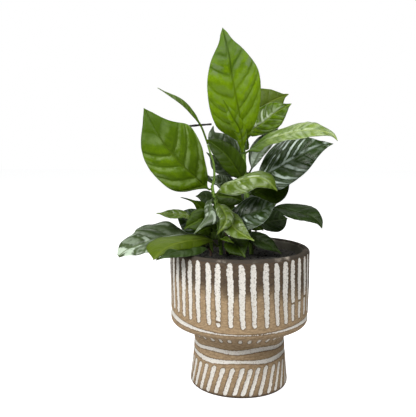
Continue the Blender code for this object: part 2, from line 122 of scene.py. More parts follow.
LEAVES = [
    # the main stem, from its top down
    Leaf("top", "stem_main", 256, [(0, 2, 283), (-7, -6, 319), (-12, -8, 349), (-19, 0, 378)], 58,
        (0, -1, 0), left=(0, 22, 28, 29.5, 28, 24.5, 18, 7, 0),
        right=(0, 11.5, 20, 25.5, 28, 26.5, 17.5, 6.5, 0), fold=(6, 12), petiole=2, drip=0.06, on_top=True,
        kind="young"),
    Leaf("top_small", "stem_main", 251, [(0, -4, 271), (-8, -12, 286), (-18, -15, 304)], 14, (0.3, -1, 0.2),
        fold=(12, 12), petiole=5, kind="young"),
    Leaf("right_pale", "stem_main", 248, [(17, 4, 256), (27, 0, 262), (41, -8, 267), (62, -24, 272),
        (83, -35, 271), (91, -37, 268), (96, -38, 262)], 34, (0, -0.6, 0.8),
        left=(0, 5, 11, 15, 17, 16, 12, 5, 0), right=(0, 12, 12.5, 15, 17, 16, 12, 5, 0), petiole=5,
        fold=(4, 4), kind="young"),
    Leaf("right_big", "stem_main", 212, [(25, 12, 222), (35, 15, 228), (51, 21, 237), (71, 30, 248),
        (93, 40, 256), (104, 44, 258)], 46, (0.2, -0.9, 0.5), petiole=10,
        left=(0, 12, 20, 24, 25, 22, 15, 6, 0), right=(0, 20, 22.5, 22, 20, 16, 10, 4, 0), kind="glossy"),
    Leaf("inner_dark", "stem_main", 220, [(-2, 3, 229), (-15, 1, 247), (-35, 3, 263)], 32, (0, -1, 0.2),
        left=(0, 7, 11, 13, 13, 12, 10, 6, 0), right=(0, 8, 11.5, 12, 12, 11, 9, 6, 0), petiole=4,
        fold=(26, 6)),
    Leaf("right_under", "stem_main", 202, [(17, 26, 205), (25, 34, 208), (43, 38, 211), (59, 42, 220)], 42,
        (0.1, -0.9, 0.4), belly=0.5, fold=(4, 4)),
    Leaf("centre_round", "stem_main", 197, [(-8, 6, 201), (-20, 5, 202), (-30, 5, 205)], 22, (0, -1, 0.3),
        petiole=4),
    Leaf("far_right", "stem_main", 184, [(39, 2, 190), (54, -6, 188), (65, -14, 186), (74, -20, 184),
        (81, -24, 179), (84, -28, 173)], 33, (0.1, -0.5, 0.9), petiole=24, belly=0.55, drip=0.06,
        full_tip=1.0),
    Leaf("right_round", "stem_main", 170, [(17, 12, 174), (29, 16, 173), (41, 21, 174), (53, 26, 176)], 28,
        (0, -0.9, 0.5), petiole=4, belly=0.6, drip=0.05, full_tip=0.7),
    Leaf("inner_curled", "stem_back", 224, [(-13, 14, 230), (-23, 16, 234), (-30, 18, 243), (-37, 20, 249)],
        18, (0, -0.9, 0.6), kind="glossy"),
    # the thin stem in front
    Leaf("thin_shoot", "stem_left", 258, [(-42, -8, 279), (-52, -10, 291), (-62, -12, 301), (-85, -16, 316)],
        22, (0.58, -0.2, 0.79), petiole=21, on_top=True, kind="young"),
    Leaf("left_big", "stem_left", 211, [(-42, -20, 221), (-58, -30, 237), (-80, -34, 264), (-98, -26, 295)],
        64, (-0.1, -1, 0.1), left=(0, 15, 25, 28, 28, 25, 17.5, 7.5, 0),
        right=(0, 11, 20, 28, 32, 31.5, 19, 8.5, 0), petiole=5, fold=(6, 12), drip=0.08),
    Leaf("front_light", "stem_left", 205, [(-18, -20, 216), (-2, -34, 222), (16, -42, 226), (28, -46, 222),
        (37, -46, 213)], 34, (0, -0.5, 0.9), left=(0, 8, 13, 16, 17, 18, 17, 13, 0),
        right=(0, 8, 13, 16, 17, 15, 11, 6, 0), fold=(-10, -25), petiole=5, kind="young"),
    Leaf("young_folded", "stem_left", 196, [(-17, -23, 190), (-14, -34, 181), (-23, -36, 167)], 17,
        (0.3, -1, 0.2), petiole=4, kind="young"),
    Leaf("young_open", "stem_left", 189, [(-13, -18, 181), (-3, -31, 171), (15, -42, 162)], 24,
        (0.2, -0.8, 0.6), petiole=5, fold=(38, 8), kind="young"),
    Leaf("left_upper", "stem_left", 194, [(-31, 2, 198), (-39, 4, 202), (-48, 7, 202)], 15, (0, -1, 0.3),
        petiole=4),
    Leaf("front_grey", "stem_left", 202, [(-31, -15, 198), (-31, -23, 191), (-32, -29, 184), (-39, -33, 176),
        (-47, -34, 167)], 16, (0.2, -0.8, 0.6), left=(0, 2, 3.5, 8, 11, 6, 2, 1, 0),
        right=(0, 4, 5.5, 5.5, 4, 2.5, 1.5, 1, 0), petiole=4, drip=0.35, kind="glossy"),
    Leaf("left_pointed", "stem_left", 184, [(-36, -2, 185), (-43, -5, 193), (-51, -10, 199),
        (-62, -15, 203)], 15, (0, -1, 0.5), petiole=4, belly=0.34, full_tip=2.4, drip=0.3),
    Leaf("left_bright", "stem_left", 176, [(-39, -14, 181), (-46, -18, 177), (-53, -20, 174),
        (-58, -21, 170)], 22, (0, -1, 0.3), petiole=9, full=0.55),
    Leaf("over_rim_left", "stem_left", 149, [(-31, -10, 158), (-46, -27, 160), (-62, -46, 160),
        (-76, -59, 155), (-84, -68, 147)], 34, (0, -0.25, 1), (-0.4, -0.5, 0.9),
        left=(0, 3, 6, 8, 9, 8, 6, 4, 0), right=(0, 9, 15, 19, 21, 23, 24, 22, 0), petiole=3, fold=(-50, 2),
        drip=0.04),
    Leaf("under_rim_left", "seedling_left", 149, [(-44, -18, 152), (-54, -42, 153), (-68, -60, 152),
        (-82, -66, 146)], 34, (-0.1, -0.6, 0.8), petiole=6, fold=(4, 4), kind="glossy"),
    Leaf("soil_small", "stem_left", 156, [(-16, -20, 161), (-6, -33, 158)], 8, (0, -0.7, 0.7), petiole=4),
    # the short stem on the left
    Leaf("left_inner", "stem_low", 174, [(-35, 7, 185), (-41, 4, 190), (-46, 1, 194)], 14, (0, -1, 0.3)),
    Leaf("low_wavy", "stem_low", 156, [(-50, 12, 160), (-74, 8, 159), (-91, 2, 156), (-104, -4, 151),
        (-117, -9, 147), (-124, -12, 143), (-129, -14, 139)], 48, (-0.2, -0.6, 0.8),
        left=(0, 6, 14, 21, 24, 23, 17, 11, 3), right=(0, 2, 9, 21, 25, 23, 20, 15, 3), drip=0.04, wave=2.4,
        waves=3.2, kind="glossy"),
    Leaf("left_small", "stem_low", 161, [(-41, 2, 166), (-57, -4, 182), (-66, -2, 183), (-77, 0, 183),
        (-90, 0, 184)], 13, (0, -0.7, 0.7), petiole=30, belly=0.58, kind="young"),
    Leaf("left_dark", "stem_low", 169, [(-40, 9, 171), (-49, 9, 173), (-60, 10, 178), (-70, 11, 182)], 28,
        (0, -0.95, 0.3), petiole=5, drip=0.05),
    Leaf("left_shade", "stem_left", 166, [(-31, 0, 169), (-38, -3, 168), (-49, -6, 163)], 18, (0, -1, 0.4),
        petiole=3),
    # the short stem in the middle
    Leaf("right_shade", "stem_right", 168, [(9, 4, 174), (18, 6, 170), (26, 7, 165)], 13, (0, -1, 0.4),
        petiole=10),
    Leaf("low_glossy", "stem_right", 170, [(0, -14, 181), (21, -24, 190), (37, -28, 198)], 40,
        (0.1, -0.75, 0.65), petiole=10, full=0.5, drip=0.05, kind="glossy"),
    Leaf("over_rim_right", "stem_right", 165, [(16, -3, 158), (32, -5, 151), (45, -6, 142)], 23,
        (0.3, -0.6, 0.8)),
    Leaf("soil_glossy", "stem_right", 161, [(-4, -10, 157), (-1, -19, 151), (6, -28, 142)], 28,
        (0, -0.9, 0.5), petiole=4, kind="glossy"),
    # the stem behind
    Leaf("back_upper", "stem_back", 256, [(20, 40, 294), (36, 50, 306), (55, 62, 314)], 44, (0, -1, 0.3),
        petiole=14, on_top=True),
    Leaf("back_ribbed", "stem_back", 253, [(8, 28, 268), (15, 27, 274), (24, 28, 280), (39, 32, 292),
        (56, 35, 302)], 32, (0, -0.9, 0.5), petiole=14, belly=0.56, drip=0.06, kind="glossy"),
    Leaf("right_grey", "stem_back", 225, [(21, 37, 247), (31, 38, 261), (42, 40, 275)], 24, (-0.2, -1, 0.2),
        left=(0, 6, 10, 12, 12, 11, 8, 4, 0), right=(0, 3, 5, 6, 7, 7, 6, 3, 0), kind="glossy"),
    Leaf("inner_grey", "stem_back", 232, [(-9, 32, 249), (-23, 34, 259), (-31, 35, 269), (-30, 36, 278)], 29,
        (0, -1, 0.2), kind="glossy"),
    Leaf("inner_ribbed", "stem_back", 204, [(-9, 24, 211), (-22, 24, 218), (-34, 26, 222)], 19,
        (0, -0.9, 0.5), petiole=10, kind="young"),
    Leaf("rear_top", "stem_back", 244, [(-5, 50, 249), (-7, 78, 259), (-7, 104, 262), (-8, 127, 254)], 36,
        (0.2, 0.4, 0.9), petiole=14),
    Leaf("rear_left", "stem_back", 203, [(-12, 45, 207), (-34, 62, 213), (-60, 85, 226), (-88, 100, 220)],
        42, (-0.2, 0.5, 0.9), petiole=28),
    Leaf("rear_right", "stem_back", 217, [(36, 62, 222), (58, 80, 230), (75, 92, 224)], 40, (0.2, 0.4, 0.9),
        petiole=18, kind="glossy"),
    Leaf("rear_middle", "stem_back", 190, [(5, 62, 196), (-2, 95, 200), (-6, 124, 186)], 40, (0, 0.5, 0.9),
        petiole=12),
    Leaf("back_shade", "stem_back", 187, [(-6, 35, 186), (-22, 37, 180), (-37, 37, 173)], 27, (0, -1, 0.2),
        petiole=10),
    Leaf("rear_low_left", "stem_back", 172, [(-5, 40, 167), (-22, 43, 161), (-47, 41, 150)], 24,
        (0, -1, 0.3), petiole=10, belly=0.5, kind="glossy"),
    Leaf("rear_low_right", "stem_back", 168, [(34, 60, 178), (56, 78, 180), (76, 90, 168)], 34,
        (0.2, 0.4, 0.9), petiole=12),
]


def smooth_path(points, shares):
    """Stations at shares of a smooth curve's length, each a position and a direction."""
    points = [Vector(p) for p in points]
    times = [0.0]
    for a, b in zip(points, points[1:]):
        times.append(times[-1] + (b - a).length)
    slopes = []
    for i in range(len(points)):
        lo, hi = max(i - 1, 0), min(i + 1, len(points) - 1)
        slopes.append((points[hi] - points[lo]) / (times[hi] - times[lo]))
    fine = []
    for i in range(len(points) - 1):
        span = times[i + 1] - times[i]
        for k in range(FINE_STEPS):
            s = k / FINE_STEPS
            fine.append((2 * s ** 3 - 3 * s ** 2 + 1) * points[i]
                        + (s ** 3 - 2 * s ** 2 + s) * span * slopes[i]
                        + (3 * s ** 2 - 2 * s ** 3) * points[i + 1]
                        + (s ** 3 - s ** 2) * span * slopes[i + 1])
    fine.append(points[-1])
    reach = [0.0]
    for a, b in zip(fine, fine[1:]):
        reach.append(reach[-1] + (b - a).length)
    stations, j = [], 0
    for share in shares:
        while j < len(fine) - 2 and reach[j + 1] < share * reach[-1]:
            j += 1
        step = fine[j + 1] - fine[j]
        stations.append((fine[j].lerp(fine[j + 1], (share * reach[-1] - reach[j]) / step.length),
                         step.normalized()))
    return stations, reach[-1]


def stem_at(name, height):
    """A stem's middle, direction and radius where it passes a height."""
    stem = next(s for s in STEMS if s.name == name)
    stations, _ = smooth_path(stem.points, [k / 60 for k in range(61)])
    middle, along = min(stations, key=lambda station: abs(station[0].z - height))
    low, high = stem.points[0][2], stem.points[-1][2]
    share = min(max((middle.z - low) / (high - low), 0), 1)
    return middle, along, stem.radii[0] + (stem.radii[1] - stem.radii[0]) * share


def petiole_start(leaf):
    """Where a leaf leaves the side of its stem: the stem there, and the way out of it."""
    middle, along, radius = stem_at(leaf.stem, leaf.height)
    out = Vector(leaf.midrib[0]) - middle
    return middle, along, radius, (out - along * out.dot(along)).normalized()


def leaf_path(leaf):
    """The points of a leaf's middle line, which starts on its stem."""
    middle, along, radius, out = petiole_start(leaf)
    if leaf.on_top:
        root, out = middle + along * GAP, along
    else:
        root = middle + out * (radius + GAP)
    return [root, root + out * 3, *leaf.midrib]


def smoothstep(low, high, x):
    """0 below low, 1 above high, smooth between; low may be the greater."""
    s = np.clip((x - low) / (high - low), 0, 1)
    return s * s * (3 - 2 * s)


def drawn_width(widths, t):
    """A smooth curve through widths that stand at even steps of t."""
    widths = np.array(widths)
    last = len(widths) - 1
    step = np.clip((t * last).astype(int), 0, last - 1)
    s = t * last - step
    before, a, b, after = (widths[np.clip(step + k, 0, last)] for k in (-1, 0, 1, 2))
    return a + s / 2 * (b - before + s * (2 * before - 5 * a + 4 * b - after
                                          + s * (3 * a - before - 3 * b + after)))


def even_width(leaf, t):
    """Half the width of a leaf with an even outline."""
    share = np.clip(t / (1 - 0.8 * leaf.drip), 0, 1) ** (math.log(0.5) / math.log(leaf.belly))
    return np.sin(np.pi * share) ** (leaf.full + (leaf.full_tip - leaf.full) * t) * leaf.width / 2


def half_width(leaf, t, u):
    """Width of the blade's half that u, -1 to 1, is on, at t: 0 at its base and 1 at its tip."""
    left, right = (np.clip(drawn_width(half, t) if half else even_width(leaf, t), 0, None)
                   for half in (leaf.left, leaf.right))
    tail = TIP_WIDTH / 2 + 0.05 * leaf.width * np.clip((1 - t) / leaf.drip, 0, 1)
    ends = np.where(t < 0.5, STALK / 2, tail * smoothstep(1.02, 0.97, t))
    return np.hypot(np.where(u > 0, right, left), ends)


@dataclass
class Detail:
    """What a leaf's surface shows besides its outline."""
    look: str
    veins: float = 6.0        # pairs of side veins
    relief: float = 1.0       # how far the blade puffs up between its veins
    tone: tuple = (0.0, 0.0)  # of its base and its tip, lighter above 0 and darker below: partly the leaf's own green, partly painted light and shade for how the leaf lies to the lamps
    sheen: tuple = (0, 0, 0, 0)   # painted sheen, grey reflection painted on the left half, right half, tip and margin: streaks up to 1, and a film over them beyond 1
                                  # up to 1, and a film over them beyond 1
    sweep: tuple = (0.7, 0.7)     # lean of the left and right side veins towards the tip
    shift: float = 0.3        # how far the left side veins stand from the right ones
    bow: float = 0.05         # how far each half arches, as a share of its width
    ridge_sheen: float = 0.0        # share of painted sheen, a grey highlight streak on the left, close to the midrib
    turn: float = 0.5         # where the tone and the painted sheen start to turn from the base's to the tip's


DETAILS = {
    "top": Detail("lime", 6, 1.4, (0.5, -0.6), (0.5, 0.4, 1.3, 0.2), (0.45, 0.95), 0.4),
    "top_small": Detail("lime", 5, 0.3, (0.3, 0.3), (0, 0, 0, 0.9)),
    "right_pale": Detail("pale", 6, 0.9, (-1.0, 0.0), (0, 0, 0.2, 0), ridge_sheen=0.5, turn=0.1),
    "right_big": Detail("glossy", 6, 0.9, (0.2, 0.2), (1.0, 0.8, 0.6, 0.4), (1.8, 0.5), ridge_sheen=0.7),
    "inner_dark": Detail("dark", 6, 0.5, (0.2, 0.2)),
    "right_under": Detail("dark", 6, 0.6, (-0.3, -0.3)),
    "centre_round": Detail("dark", 5, 0.6),
    "far_right": Detail("satin", 6, 0.4, (-0.4, -0.4), ridge_sheen=0.4),
    "right_round": Detail("satin", 6, 0.6),
    "inner_curled": Detail("grey", 5, 0.8, (-0.8, -0.8), (0.8, 0.2, 0.8, 1.2)),
    "thin_shoot": Detail("mid", 7, 0.1, (-0.4, -0.2), bow=0.0),
    "left_big": Detail("mid", 5.6, 1.3, (0.1, -0.9), (0, 0, 0.0, 0.5), (0.75, 0.75), 0.0),
    "front_light": Detail("young", 5, 0.8, (-0.2, -0.3), (0.2, 0.9, 0, 0), ridge_sheen=0.9),
    "young_folded": Detail("young", 5, 0.3, (-0.4, -0.3), (0, 0, 0, 0.9)),
    "young_open": Detail("young", 5, 0.5, (-0.3, 0.0), (0, 0, 0, 0.4)),
    "left_upper": Detail("satin", 5, 0.6, sheen=(0.3, 0.3, 0.3, 0)),
    "front_grey": Detail("grey", 3, 0.5, (-0.5, -0.3), (1.1, 1.1, 1.3, 0.9)),
    "left_pointed": Detail("dark", 5, 0.4),
    "left_bright": Detail("dark", 5, 0.5, sheen=(0, 0, 0, 1.4)),
    "over_rim_left": Detail("olive", 6, 0.3, (-0.2, 0.3)),
    "under_rim_left": Detail("satin", 6, 0.4, (0.2, 0.5), (0, 0, 0.6, 0)),
    "soil_small": Detail("mid", 4, 0.3),
    "left_inner": Detail("dark", 4, 0.5),
    "low_wavy": Detail("grey", 5, 1.6, (-0.6, 0.0), (0.7, 0.9, 0.85, 0.5), ridge_sheen=0.9),
    "left_small": Detail("young", 5, 0.6, (-0.6, -0.5)),
    "left_dark": Detail("glossy", 5, 0.9),
    "left_shade": Detail("dark", 4, 0.4),
    "right_shade": Detail("dark", 4, 0.4),
    "low_glossy": Detail("glossy", 4.5, 0.5, (-0.1, 0.0), (0.3, 0.9, 0.1, 0.2), shift=0.0),
    "over_rim_right": Detail("satin", 5, 0.7),
    "soil_glossy": Detail("dark", 5, 0.5, (-0.3, -0.3)),
    "back_upper": Detail("olive", 6, 0.5),
    "back_ribbed": Detail("ribbed", 7, 1.2, sheen=(0.7, 0.0, 0.0, 0), ridge_sheen=0.35),
    "right_grey": Detail("grey", 5, 0.7, sheen=(1.9, 1.4, 1.2, 0.6)),
    "inner_grey": Detail("grey", 4, 0.9, (-0.5, -0.5), (0.5, 0.5, 0.8, 1.3)),
    "inner_ribbed": Detail("grey", 5, 0.8, sheen=(0.9, 0.9, 0.9, 0.4)),
    "back_shade": Detail("dark", 5, 0.5),
    "rear_top": Detail("mid", 7, 1.0),
    "rear_left": Detail("satin", 6, 1.1),
    "rear_right": Detail("glossy", 6, 1.1),
    "rear_middle": Detail("satin", 6, 1.1),
    "rear_low_left": Detail("dark", 5, 0.5),
    "rear_low_right": Detail("satin", 6, 1.0),
}


def unit(vectors):
    return vectors / np.linalg.norm(vectors, axis=-1, keepdims=True)


def make_mesh(name, points, faces, material):
    """A smooth mesh from points in millimetres."""
    mesh = bpy.data.meshes.new(name)
    mesh.from_pydata((np.array(points).reshape(-1, 3) * MM).tolist(), [], faces)
    mesh.shade_smooth()
    mesh.materials.append(material)
    return mesh


def turned_mesh(name, points, material):
    """A mesh of quads over rings of points, each ring closed on itself."""
    rings, count = points.shape[:2]
    here = np.arange(rings * count).reshape(rings, count)
    beside = np.roll(here, -1, axis=1)
    quads = np.stack([here[:-1], beside[:-1], beside[1:], here[1:]], -1)
    return make_mesh(name, points, quads.reshape(-1, 4).tolist(), material)


def leaf_mesh(name, tops, unders, material):
    """The closed skin of a leaf from the grids of its upper and its under side."""
    rows, columns = tops.shape[:2]
    top = np.arange(rows * columns).reshape(rows, columns)
    under = top + rows * columns
    quads = [(top[:-1, :-1], top[:-1, 1:], top[1:, 1:], top[1:, :-1]),
             (under[:-1, :-1], under[1:, :-1], under[1:, 1:], under[:-1, 1:])]
    for near, far in ((top[:, 0], under[:, 0]), (under[:, -1], top[:, -1]),
                      (under[0, :], top[0, :]), (top[-1, :], under[-1, :])):
        quads.append((near[:-1], near[1:], far[1:], far[:-1]))
    faces = np.concatenate([np.stack(corners, -1).reshape(-1, 4) for corners in quads])
    return make_mesh(name, np.stack([tops, unders]), faces.tolist(), material)


def store(mesh, name, values):
    """A named number for each point of a mesh."""
    layer = mesh.attributes.new(name, "FLOAT", "POINT")
    layer.data.foreach_set("value", np.ascontiguousarray(values, np.float32).ravel())


def add_piece(mesh, slot, *nodes):
    """A piece of the plant, named as its mesh, which stands for its CAD nodes."""
    piece = bpy.data.objects.new(mesh.name, mesh)
    bpy.context.scene.collection.objects.link(piece)
    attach(piece, "root")
    if nodes:
        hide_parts(*nodes)


def make_leaf(leaf, seed):
    """One leaf: a closed blade with puffed cells between its veins, on a round petiole."""
    detail = DETAILS[leaf.name]
    path = leaf_path(leaf)
    _, length = smooth_path(path, [0, 1])
    stalk, blade = leaf.petiole / length, length - leaf.petiole
    rows = max(round(blade / ROW_SPACING), MIN_ROWS)
    shares = np.concatenate([np.linspace(0, stalk, PETIOLE_ROWS, endpoint=False),
                             stalk + (1 - stalk) * np.linspace(0, 1, rows + 1)])
    stations, _ = smooth_path(path, shares)
    position, along = np.array(stations).transpose(1, 0, 2)
    face = np.array(Vector(leaf.face).normalized())[None, :]
    if leaf.face_tip:
        face = face + (np.array(Vector(leaf.face_tip).normalized()) - face) * shares[:, None]
    face = unit(face - along * np.sum(face * along, 1, keepdims=True))
    right = np.cross(along, face)

    # u is -1 at the left margin and 1 at the right, with closer columns near the midrib
    half = max(round(leaf.width / 2 / COLUMN_SPACING), MIN_COLUMNS)
    u = np.linspace(-1, 1, 2 * half + 1)
    u = np.sign(u) * np.abs(u) ** 1.15
    outwards = np.abs(u)
    t = np.clip((shares - stalk) / (1 - stalk), 0, 1)[:, None]
    on_stalk = (shares <= stalk)[:, None]
    reach = np.where(on_stalk, STALK / 2, half_width(leaf, t, u[None, :]))
    lateral = u[None, :] * reach

    # side veins leave the midrib at an angle and bend towards the tip
    outer = np.abs(lateral) / (leaf.width / 2)
    lean = np.where(u > 0, detail.sweep[1], detail.sweep[0])
    begun = np.clip(t - np.abs(lateral) * (lean + 0.5 * outer ** 3) / blade, -0.3, 1)
    vein = detail.veins * (1.5 * begun - 0.5 * begun ** 2) + 0.5
    vein = vein + detail.shift * np.clip(-lateral / 3, 0, 1)
    vein = vein + 0.13 * np.sin(2.3 * vein + seed) * smoothstep(0.0, 0.15, outwards)
    phase = vein - np.round(vein)
    open_blade = smoothstep(0.0, 0.12, t) * smoothstep(1.0, 0.85, t)

    # between them the blade puffs up, less where small cross veins tie it down
    puff = np.abs(np.sin(np.pi * phase)) ** 0.8 * smoothstep(0.0, 0.16, outwards) * (1 - u ** 8)
    fullness = 1 + 0.35 * np.sin(2.4 * np.floor(vein) + seed + np.sign(u))
    cross = np.abs(lateral) / CROSS_SPACING + 0.8 * np.sin(1.7 * vein + seed)
    fullness = fullness * (0.7 + 0.3 * np.abs(np.sin(np.pi * cross)) ** 0.7)
    puff = detail.relief * (puff * fullness - 0.5 * smoothstep(0.0, 0.2, outwards)) * open_blade
    lift = np.radians(np.where(u > 0, leaf.fold[1], leaf.fold[0]))[None, :] * np.clip(t / 0.15, 0, 1)
    ripple = leaf.wave * np.sin(leaf.waves * math.tau * t + np.where(u > 0, 1.2, 0)) * u * u
    ripple = ripple * reach / (leaf.width / 2)
    arch = detail.bow * reach * np.sin(np.pi * outwards) * open_blade
    scallop = 0.35 * min(detail.relief, 1) * np.sin(math.tau * vein) * u ** 6 * open_blade
    rise = outwards * reach * np.sin(lift) + ripple + arch + scallop + puff
    surface = (position[:, None, :] + right[:, None, :] * (lateral * np.cos(lift))[..., None]
               + face[:, None, :] * rise[..., None])
    wander = np.array([[noise.noise(Vector(p) * 0.045 + Vector((seed, 0, 0))) for p in row]
                       for row in surface])
    surface = surface + face[:, None, :] * (wander * 0.9 * open_blade * outwards)[..., None]

    # thickness: round on the petiole, thin in the blade, with the midrib below it
    rib = STALK / 2 * (1 - 0.75 * np.clip(t / 0.9, 0, 1)) * np.exp(-(lateral / (0.9 - 0.5 * t)) ** 2)
    skin = BLADE_HALF + (MARGIN_HALF - BLADE_HALF) * outwards ** 3
    round_stalk = STALK / 2 * np.sqrt(np.clip(1 - u ** 2, 0, 1)) + 0.02
    share = np.where(on_stalk, 0, smoothstep(0.0, 0.10, t))
    upper = round_stalk * (1 - share) + (skin - 0.25 * rib) * share
    lower = round_stalk * (1 - share) + (skin + rib) * share
    normal = unit(np.cross(np.gradient(surface, axis=1), np.gradient(surface, axis=0)))
    mesh = leaf_mesh("fine_leaf_" + leaf.name, surface + normal * upper[..., None],
                     surface - normal * lower[..., None], leaf_material(detail.look))

    # the tone, and the painted sheen: grey reflection painted over the blade and a highlight streak beside
    # the midrib
    tip_share = smoothstep(detail.turn, detail.turn + 0.3, t)
    sheen = np.where(u > 0, detail.sheen[1], detail.sheen[0])
    sheen = sheen + (detail.sheen[3] - sheen) * smoothstep(0.6, 0.85, outwards)
    ridge_sheen = detail.ridge_sheen * smoothstep(2.0, 0.6, np.abs(lateral + 1.8)) * smoothstep(0.1, 0.3, t)
    marks = {"across": lateral, "side": u, "along": t, "vein": vein, "cross": cross, "blade": share,
             "tone": detail.tone[0] + (detail.tone[1] - detail.tone[0]) * tip_share,
             "sheen": sheen + (detail.sheen[2] - sheen) * tip_share,
             "ridge_sheen": ridge_sheen * smoothstep(0.9, 0.7, t)}
    for name, values in marks.items():
        store(mesh, name, np.stack([np.broadcast_to(values, lateral.shape)] * 2))
    store(mesh, "upper", np.stack([np.ones(lateral.shape), np.zeros(lateral.shape)]))
    add_piece(mesh, leaf.kind + "_leaf", "leaf_" + leaf.name)


def linear(red, green, blue):
    """A colour given as 0 to 255 on a screen, as linear light."""
    def convert(value):
        value /= 255
        return value / 12.92 if value <= 0.04045 else ((value + 0.055) / 1.055) ** 2.4
    return (convert(red), convert(green), convert(blue), 1.0)


class Value:
    """A number that a material works out at each point, so that formulas read as arithmetic."""

    def __init__(self, tree, socket):
        self.tree, self.socket = tree, socket

    def __add__(self, other):
        return self.tree.math("ADD", self, other)

    def __sub__(self, other):
        return self.tree.math("SUBTRACT", self, other)

    def __rsub__(self, other):
        return self.tree.math("SUBTRACT", other, self)

    def __mul__(self, other):
        return self.tree.math("MULTIPLY", self, other)

    def __abs__(self):
        return self.tree.math("ABSOLUTE", self)

    __radd__, __rmul__ = __add__, __mul__


class Tree:
    """A material's nodes, added one call at a time."""

    def __init__(self, name=None, owner=None):
        self.owner = owner or bpy.data.materials.new(name)
        self.owner.use_nodes = True
        self.tree = self.owner.node_tree
        self.tree.nodes.clear()

    def node(self, kind, inputs=(), **settings):
        """A node's outputs. Its inputs are numbers, colours, values or other outputs."""
        made = self.tree.nodes.new("ShaderNode" + kind)
        for key, value in settings.items():
            setattr(made, key, value)
        for key, value in dict(inputs).items():
            value = getattr(value, "socket", value)
            if isinstance(value, bpy.types.NodeSocket):
                self.tree.links.new(value, made.inputs[key])
            else:
                made.inputs[key].default_value = value
        return made.outputs

    def number(self, kind, inputs=(), output=0, **settings):
        return Value(self, self.node(kind, inputs, **settings)[output])

    def attribute(self, name):
        return self.number("Attribute", output="Fac", attribute_name=name)

    def math(self, operation, *values):
        """A Math node's result, of values and numbers."""
        return self.number("Math", enumerate(values), operation=operation)

    def greatest(self, first, *others):
        for other in others:
            first = self.math("MAXIMUM", first, other)
        return first

    def off_whole(self, value):
        """How far a value is past the nearest whole number, from -0.5 to 0.5."""
        return self.math("FRACT", value + 0.5) - 0.5

    def step(self, value, low, high):
        """0 where the value is under low, 1 over high, smooth between."""
        return self.number("MapRange", {"Value": value, "From Min": low, "From Max": high},
                           interpolation_type="SMOOTHSTEP")

    def blend(self, share, *colours):
        """Two colours mixed by a share. A plain one is given as 0 to 255 on a screen."""
        first, second = (linear(*c) if isinstance(c, tuple) else c for c in colours)
        return self.node("Mix", {0: share, 6: first, 7: second}, data_type="RGBA")[2]

    def place(self):
        return self.node("TexCoord")["Object"]

    def squeezed(self, *scale):
        """The object's own points, with each axis scaled."""
        return self.node("Mapping", {"Vector": self.place(), "Scale": scale})[0]

    def noise(self, scale, detail=3.0, roughness=0.55, vector=None):
        """A noise from 0 to 1 over the object's own points, with scale in turns a metre."""
        return self.number("TexNoise", {"Scale": scale, "Detail": detail, "Roughness": roughness,
                                        "Vector": vector or self.place()}, "Fac")

    def cells(self, scale, feature):
        """A distance within round cells, with scale in cells a metre."""
        return self.number("TexVoronoi", {"Vector": self.place(), "Scale": scale}, "Distance",
                           feature=feature)

    def skin(self, colour, rough, height, distance, strength=1.0, more=()):
        """A surface with a colour, a roughness and a fine relief, and the relief's normal."""
        normal = self.node("Bump", {"Height": height, "Distance": distance, "Strength": strength})[0]
        inputs = {"Base Color": colour, "Roughness": rough, "Normal": normal, **dict(more)}
        return self.node("BsdfPrincipled", inputs)[0], normal

    def finish(self, shader, kind="Material"):
        self.node("Output" + kind, {"Surface": shader})
        return self.owner


@dataclass
class Look:
    """How a kind of leaf looks. Its colours are given as 0 to 255 on a screen."""
    light: tuple              # the blade, midway between two veins
    dark: tuple               # the blade beside its veins
    vein: tuple
    pale_and_sheen: tuple              # pale colour of the painted sheen, also of pale margins and under-side veins
    # how much painted sheen shows under the veins
    sheen_share: float
    under: tuple
    rough: float
    shine: float              # specular level
    grain: float              # how uneven the blade is between its veins
    glow: float               # share of the light that passes through
    glow_colour: tuple


LOOKS = {
    "lime": Look((116, 148, 0), (66, 94, 2), (52, 74, 4), (108, 124, 84), 0.7, (118, 144, 20), 0.42, 0.15,
        1.0, 0.28, (158, 188, 0)),
    "pale": Look((118, 138, 56), (62, 86, 10), (136, 152, 84), (190, 204, 170), 0.25, (112, 134, 46),
        0.34, 0.4, 0.5, 0.10, (140, 172, 20)),
    "young": Look((90, 110, 20), (58, 78, 8), (122, 140, 60), (186, 198, 168), 0.25, (124, 142, 56), 0.30,
        0.35, 0.5, 0.10, (136, 168, 8)),
    "mid": Look((86, 114, 0), (54, 78, 0), (72, 92, 14), (114, 134, 76), 0.8, (94, 114, 24), 0.42, 0.1,
        0.6, 0.08, (126, 158, 2)),
    "olive": Look((76, 94, 6), (58, 76, 2), (90, 104, 28), (88, 102, 44), 0.3, (92, 108, 30), 0.45, 0.2,
        0.5, 0.08, (120, 148, 8)),
    "ribbed": Look((84, 112, 0), (40, 60, 0), (92, 114, 20), (196, 208, 180), 0.1, (88, 108, 30), 0.30,
        0.12, 0.3, 0.08, (120, 150, 4)),
    "dark": Look((48, 68, 0), (30, 46, 0), (62, 82, 14), (60, 76, 32), 0.15, (62, 80, 16), 0.38, 0.12,
        0.5, 0.04, (90, 126, 4)),
    "satin": Look((38, 56, 12), (20, 34, 4), (50, 64, 26), (96, 112, 84), 0.2, (60, 76, 28), 0.40, 0.12,
        0.3, 0.04, (80, 114, 8)),
    "glossy": Look((40, 60, 14), (18, 32, 2), (48, 66, 28), (192, 208, 196), 0.12, (60, 78, 30), 0.30,
        0.18, 0.3, 0.04, (80, 114, 8)),
    "grey": Look((66, 82, 44), (36, 50, 18), (88, 104, 66), (176, 190, 170), 0.3, (84, 100, 54), 0.30,
        0.3, 0.5, 0.04, (100, 128, 26)),
}


